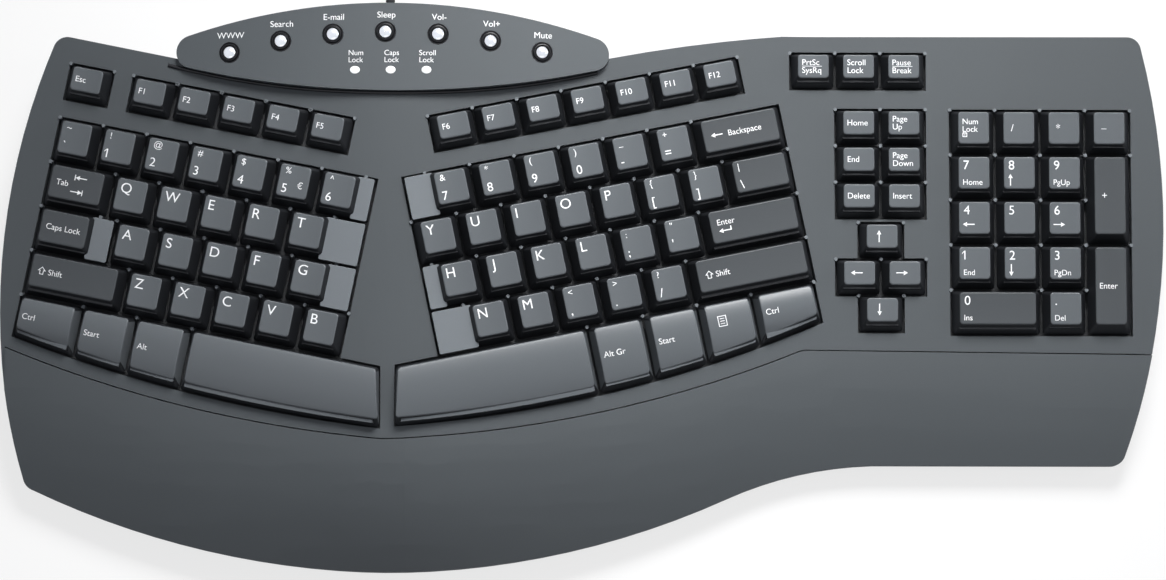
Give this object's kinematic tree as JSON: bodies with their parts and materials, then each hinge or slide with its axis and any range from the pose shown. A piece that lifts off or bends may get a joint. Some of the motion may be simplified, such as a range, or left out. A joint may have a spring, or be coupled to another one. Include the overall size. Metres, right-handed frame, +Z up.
{
  "type": "ergonomic computer keyboard",
  "caption": "Tented split-layout computer keyboard with a curved palm rest, separate number pad, raised hot-key panel with round buttons, folding rear feet and a USB lead.",
  "frame": {"origin": "middle of the keyboard's footprint, on the plane its rubber pads stand on, without the lead", "axes": "+X to the user's right along the length, +Y away from the user, +Z up"},
  "size_m": [0.4892, 0.3313, 0.0446],
  "materials": {
    "base_plastic": "fine grain",
    "cover_plastic": "satin, fine grain",
    "rest_plastic": "satin, fine grain",
    "panel_plastic": "satin, fine grain",
    "deck_plastic": "moulded",
    "dome_rubber": "moulded silicone",
    "contact_film": "clear film",
    "board_laminate": "solder mask",
    "light_pipe": "clear, frosted back",
    "pad_rubber": "matt",
    "screw_steel": "zinc plated",
    "cord_sleeve": "matt",
    "cord_jacket": "matt",
    "tie_strap": "woven strap",
    "plug_plastic": "moulded",
    "plug_steel": "nickel plated",
    "key_plastic": "satin",
    "button_chrome": "silver metallised",
    "foot_plastic": "moulded"
  },
  "bodies": {
    "case": {"bottom_case": "base_plastic", "top_cover": "cover_plastic", "palm_rest": "rest_plastic", "hot_key_panel": "panel_plastic", "key_decks": "deck_plastic", "rubber_dome_sheets": "dome_rubber", "contact_sheets": "contact_film", "circuit_boards": "board_laminate", "indicator_windows": "light_pipe", "rubber_pads": "pad_rubber", "case_screws": "screw_steel", "strain_relief": "cord_sleeve", "usb_cable": "cord_jacket", "cable_hank": "cord_jacket", "cable_tie": "tie_strap", "usb_plug_body": "plug_plastic", "usb_plug_shell": "plug_steel"},
    "escape_key": {"escape_key": "key_plastic"},
    "function_keys_left": {"function_keys_left": "key_plastic"},
    "number_keys_left": {"number_keys_left": "key_plastic"},
    "tab_key": {"tab_key": "key_plastic"},
    "top_letter_keys_left": {"top_letter_keys_left": "key_plastic"},
    "caps_lock_key": {"caps_lock_key": "key_plastic"},
    "home_letter_keys_left": {"home_letter_keys_left": "key_plastic"},
    "left_shift_key": {"left_shift_key": "key_plastic"},
    "bottom_letter_keys_left": {"bottom_letter_keys_left": "key_plastic"},
    "left_control_key": {"left_control_key": "key_plastic"},
    "left_start_key": {"left_start_key": "key_plastic"},
    "left_alt_key": {"left_alt_key": "key_plastic"},
    "left_space_bar": {"left_space_bar": "key_plastic"},
    "function_keys_right": {"function_keys_right": "key_plastic"},
    "number_keys_right": {"number_keys_right": "key_plastic"},
    "backspace_key": {"backspace_key": "key_plastic"},
    "top_letter_keys_right": {"top_letter_keys_right": "key_plastic"},
    "backslash_key": {"backslash_key": "key_plastic"},
    "home_letter_keys_right": {"home_letter_keys_right": "key_plastic"},
    "enter_key": {"enter_key": "key_plastic"},
    "bottom_letter_keys_right": {"bottom_letter_keys_right": "key_plastic"},
    "right_shift_key": {"right_shift_key": "key_plastic"},
    "right_space_bar": {"right_space_bar": "key_plastic"},
    "right_alt_key": {"right_alt_key": "key_plastic"},
    "right_start_key": {"right_start_key": "key_plastic"},
    "menu_key": {"menu_key": "key_plastic"},
    "right_control_key": {"right_control_key": "key_plastic"},
    "system_keys": {"system_keys": "key_plastic"},
    "navigation_keys": {"navigation_keys": "key_plastic"},
    "arrow_keys": {"arrow_keys": "key_plastic"},
    "numpad_single_keys": {"numpad_single_keys": "key_plastic"},
    "numpad_zero_key": {"numpad_zero_key": "key_plastic"},
    "numpad_plus_key": {"numpad_plus_key": "key_plastic"},
    "numpad_enter_key": {"numpad_enter_key": "key_plastic"},
    "web_button": {"web_button": "button_chrome"},
    "search_button": {"search_button": "button_chrome"},
    "mail_button": {"mail_button": "button_chrome"},
    "sleep_button": {"sleep_button": "button_chrome"},
    "volume_down_button": {"volume_down_button": "button_chrome"},
    "volume_up_button": {"volume_up_button": "button_chrome"},
    "mute_button": {"mute_button": "button_chrome"},
    "left_folding_foot": {"left_folding_foot": "foot_plastic"},
    "right_folding_foot": {"right_folding_foot": "foot_plastic"}
  },
  "joints": [
    {"name": "escape_press", "type": "slide", "parent": "case", "child": "escape_key", "axis": [0.1131, 0.0347, -0.993], "range_m": [0, 0.0035], "stiffness_N_per_m": 150, "deforming": ["rubber_dome_sheets"]},
    {"name": "function_left_press", "type": "slide", "parent": "case", "child": "function_keys_left", "axis": [0.1131, 0.0347, -0.993], "range_m": [0, 0.0035], "stiffness_N_per_m": 750, "deforming": ["rubber_dome_sheets"]},
    {"name": "number_left_press", "type": "slide", "parent": "case", "child": "number_keys_left", "axis": [0.1131, 0.0347, -0.993], "range_m": [0, 0.0035], "stiffness_N_per_m": 1050, "deforming": ["rubber_dome_sheets"]},
    {"name": "tab_press", "type": "slide", "parent": "case", "child": "tab_key", "axis": [0.1131, 0.0347, -0.993], "range_m": [0, 0.0035], "stiffness_N_per_m": 150, "deforming": ["rubber_dome_sheets"]},
    {"name": "top_letter_left_press", "type": "slide", "parent": "case", "child": "top_letter_keys_left", "axis": [0.1131, 0.0347, -0.993], "range_m": [0, 0.0035], "stiffness_N_per_m": 750, "deforming": ["rubber_dome_sheets"]},
    {"name": "caps_lock_press", "type": "slide", "parent": "case", "child": "caps_lock_key", "axis": [0.1131, 0.0347, -0.993], "range_m": [0, 0.0035], "stiffness_N_per_m": 150, "deforming": ["rubber_dome_sheets"]},
    {"name": "home_letter_left_press", "type": "slide", "parent": "case", "child": "home_letter_keys_left", "axis": [0.1131, 0.0347, -0.993], "range_m": [0, 0.0035], "stiffness_N_per_m": 750, "deforming": ["rubber_dome_sheets"]},
    {"name": "left_shift_press", "type": "slide", "parent": "case", "child": "left_shift_key", "axis": [0.1131, 0.0347, -0.993], "range_m": [0, 0.0035], "stiffness_N_per_m": 150, "deforming": ["rubber_dome_sheets"]},
    {"name": "bottom_letter_left_press", "type": "slide", "parent": "case", "child": "bottom_letter_keys_left", "axis": [0.1131, 0.0347, -0.993], "range_m": [0, 0.0035], "stiffness_N_per_m": 750, "deforming": ["rubber_dome_sheets"]},
    {"name": "left_control_press", "type": "slide", "parent": "case", "child": "left_control_key", "axis": [0.1131, 0.0347, -0.993], "range_m": [0, 0.0035], "stiffness_N_per_m": 150, "deforming": ["rubber_dome_sheets"]},
    {"name": "left_start_press", "type": "slide", "parent": "case", "child": "left_start_key", "axis": [0.1131, 0.0347, -0.993], "range_m": [0, 0.0035], "stiffness_N_per_m": 150, "deforming": ["rubber_dome_sheets"]},
    {"name": "left_alt_press", "type": "slide", "parent": "case", "child": "left_alt_key", "axis": [0.1131, 0.0347, -0.993], "range_m": [0, 0.0035], "stiffness_N_per_m": 150, "deforming": ["rubber_dome_sheets"]},
    {"name": "left_space_bar_press", "type": "slide", "parent": "case", "child": "left_space_bar", "axis": [0.1131, 0.0347, -0.993], "range_m": [0, 0.0035], "stiffness_N_per_m": 150, "deforming": ["rubber_dome_sheets"]},
    {"name": "function_right_press", "type": "slide", "parent": "case", "child": "function_keys_right", "axis": [-0.1131, 0.0347, -0.993], "range_m": [0, 0.0035], "stiffness_N_per_m": 1050, "deforming": ["rubber_dome_sheets"]},
    {"name": "number_right_press", "type": "slide", "parent": "case", "child": "number_keys_right", "axis": [-0.1131, 0.0347, -0.993], "range_m": [0, 0.0035], "stiffness_N_per_m": 900, "deforming": ["rubber_dome_sheets"]},
    {"name": "backspace_press", "type": "slide", "parent": "case", "child": "backspace_key", "axis": [-0.1131, 0.0347, -0.993], "range_m": [0, 0.0035], "stiffness_N_per_m": 150, "deforming": ["rubber_dome_sheets"]},
    {"name": "top_letter_right_press", "type": "slide", "parent": "case", "child": "top_letter_keys_right", "axis": [-0.1131, 0.0347, -0.993], "range_m": [0, 0.0035], "stiffness_N_per_m": 1050, "deforming": ["rubber_dome_sheets"]},
    {"name": "backslash_press", "type": "slide", "parent": "case", "child": "backslash_key", "axis": [-0.1131, 0.0347, -0.993], "range_m": [0, 0.0035], "stiffness_N_per_m": 150, "deforming": ["rubber_dome_sheets"]},
    {"name": "home_letter_right_press", "type": "slide", "parent": "case", "child": "home_letter_keys_right", "axis": [-0.1131, 0.0347, -0.993], "range_m": [0, 0.0035], "stiffness_N_per_m": 900, "deforming": ["rubber_dome_sheets"]},
    {"name": "enter_press", "type": "slide", "parent": "case", "child": "enter_key", "axis": [-0.1131, 0.0347, -0.993], "range_m": [0, 0.0035], "stiffness_N_per_m": 150, "deforming": ["rubber_dome_sheets"]},
    {"name": "bottom_letter_right_press", "type": "slide", "parent": "case", "child": "bottom_letter_keys_right", "axis": [-0.1131, 0.0347, -0.993], "range_m": [0, 0.0035], "stiffness_N_per_m": 750, "deforming": ["rubber_dome_sheets"]},
    {"name": "right_shift_press", "type": "slide", "parent": "case", "child": "right_shift_key", "axis": [-0.1131, 0.0347, -0.993], "range_m": [0, 0.0035], "stiffness_N_per_m": 150, "deforming": ["rubber_dome_sheets"]},
    {"name": "right_space_bar_press", "type": "slide", "parent": "case", "child": "right_space_bar", "axis": [-0.1131, 0.0347, -0.993], "range_m": [0, 0.0035], "stiffness_N_per_m": 150, "deforming": ["rubber_dome_sheets"]},
    {"name": "right_alt_press", "type": "slide", "parent": "case", "child": "right_alt_key", "axis": [-0.1131, 0.0347, -0.993], "range_m": [0, 0.0035], "stiffness_N_per_m": 150, "deforming": ["rubber_dome_sheets"]},
    {"name": "right_start_press", "type": "slide", "parent": "case", "child": "right_start_key", "axis": [-0.1131, 0.0347, -0.993], "range_m": [0, 0.0035], "stiffness_N_per_m": 150, "deforming": ["rubber_dome_sheets"]},
    {"name": "menu_press", "type": "slide", "parent": "case", "child": "menu_key", "axis": [-0.1131, 0.0347, -0.993], "range_m": [0, 0.0035], "stiffness_N_per_m": 150, "deforming": ["rubber_dome_sheets"]},
    {"name": "right_control_press", "type": "slide", "parent": "case", "child": "right_control_key", "axis": [-0.1131, 0.0347, -0.993], "range_m": [0, 0.0035], "stiffness_N_per_m": 150, "deforming": ["rubber_dome_sheets"]},
    {"name": "system_press", "type": "slide", "parent": "case", "child": "system_keys", "axis": [-0.0174, 0.0349, -0.9992], "range_m": [0, 0.0035], "stiffness_N_per_m": 450, "deforming": ["rubber_dome_sheets"]},
    {"name": "navigation_press", "type": "slide", "parent": "case", "child": "navigation_keys", "axis": [-0.0174, 0.0349, -0.9992], "range_m": [0, 0.0035], "stiffness_N_per_m": 900, "deforming": ["rubber_dome_sheets"]},
    {"name": "arrow_press", "type": "slide", "parent": "case", "child": "arrow_keys", "axis": [-0.0174, 0.0349, -0.9992], "range_m": [0, 0.0035], "stiffness_N_per_m": 600, "deforming": ["rubber_dome_sheets"]},
    {"name": "numpad_single_press", "type": "slide", "parent": "case", "child": "numpad_single_keys", "axis": [-0.0174, 0.0349, -0.9992], "range_m": [0, 0.0035], "stiffness_N_per_m": 2100, "deforming": ["rubber_dome_sheets"]},
    {"name": "numpad_zero_press", "type": "slide", "parent": "case", "child": "numpad_zero_key", "axis": [-0.0174, 0.0349, -0.9992], "range_m": [0, 0.0035], "stiffness_N_per_m": 150, "deforming": ["rubber_dome_sheets"]},
    {"name": "numpad_plus_press", "type": "slide", "parent": "case", "child": "numpad_plus_key", "axis": [-0.0174, 0.0349, -0.9992], "range_m": [0, 0.0035], "stiffness_N_per_m": 150, "deforming": ["rubber_dome_sheets"]},
    {"name": "numpad_enter_press", "type": "slide", "parent": "case", "child": "numpad_enter_key", "axis": [-0.0174, 0.0349, -0.9992], "range_m": [0, 0.0035], "stiffness_N_per_m": 150, "deforming": ["rubber_dome_sheets"]},
    {"name": "web_push", "type": "slide", "parent": "case", "child": "web_button", "axis": [0.1471, 0, -0.9891], "range_m": [0, 0.001], "stiffness_N_per_m": 120},
    {"name": "search_push", "type": "slide", "parent": "case", "child": "search_button", "axis": [0.0996, 0, -0.995], "range_m": [0, 0.001], "stiffness_N_per_m": 120},
    {"name": "mail_push", "type": "slide", "parent": "case", "child": "mail_button", "axis": [0.0515, 0, -0.9987], "range_m": [0, 0.001], "stiffness_N_per_m": 120},
    {"name": "sleep_push", "type": "slide", "parent": "case", "child": "sleep_button", "axis": [0.0031, 0, -1], "range_m": [0, 0.001], "stiffness_N_per_m": 120},
    {"name": "volume_down_push", "type": "slide", "parent": "case", "child": "volume_down_button", "axis": [-0.0453, 0, -0.999], "range_m": [0, 0.001], "stiffness_N_per_m": 120},
    {"name": "volume_up_push", "type": "slide", "parent": "case", "child": "volume_up_button", "axis": [-0.0934, 0, -0.9956], "range_m": [0, 0.001], "stiffness_N_per_m": 120},
    {"name": "mute_push", "type": "slide", "parent": "case", "child": "mute_button", "axis": [-0.1409, 0, -0.99], "range_m": [0, 0.001], "stiffness_N_per_m": 120},
    {"name": "left_foot_hinge", "type": "hinge", "parent": "case", "child": "left_folding_foot", "pos_m": [-0.197, 0.089, 0.0035], "axis": [1, 0, 0], "range_deg": [0, 95]},
    {"name": "right_foot_hinge", "type": "hinge", "parent": "case", "child": "right_folding_foot", "pos_m": [0.19, 0.089, 0.0035], "axis": [1, 0, 0], "range_deg": [0, 95]}
  ]
}
